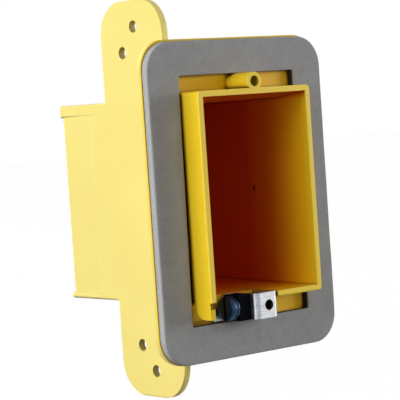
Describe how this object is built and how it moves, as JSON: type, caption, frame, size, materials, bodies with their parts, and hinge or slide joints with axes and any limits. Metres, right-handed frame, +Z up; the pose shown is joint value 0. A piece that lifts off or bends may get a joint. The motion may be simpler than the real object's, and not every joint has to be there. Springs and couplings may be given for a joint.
{
  "type": "switch box",
  "caption": "Moulded plastic switch box with a vapour-seal flange, foam gasket, side nailing ears and a bonding clip with a ground screw.",
  "frame": {"origin": "midway between the two device screw holes, in the plane of the collar's front edge, which is the finished wall's surface", "axes": "+X to the right as seen from the room, +Y into the wall, +Z up; the front faces -Y and the nailing ears lie on the -X side"},
  "size_m": [0.086, 0.086, 0.15],
  "materials": {
    "yellow_plastic": "satin moulded plastic",
    "grey_foam": "matt closed-cell foam",
    "plated_steel": "zinc-plated sheet",
    "dark_steel": "dark plated sheet",
    "green_steel": "dark green-black plating"
  },
  "bodies": {
    "root": {"box_body": "yellow_plastic", "gasket": "grey_foam", "bonding_clip": "plated_steel", "wire_saddle": "dark_steel", "ground_screw": "green_steel"}
  },
  "joints": []
}
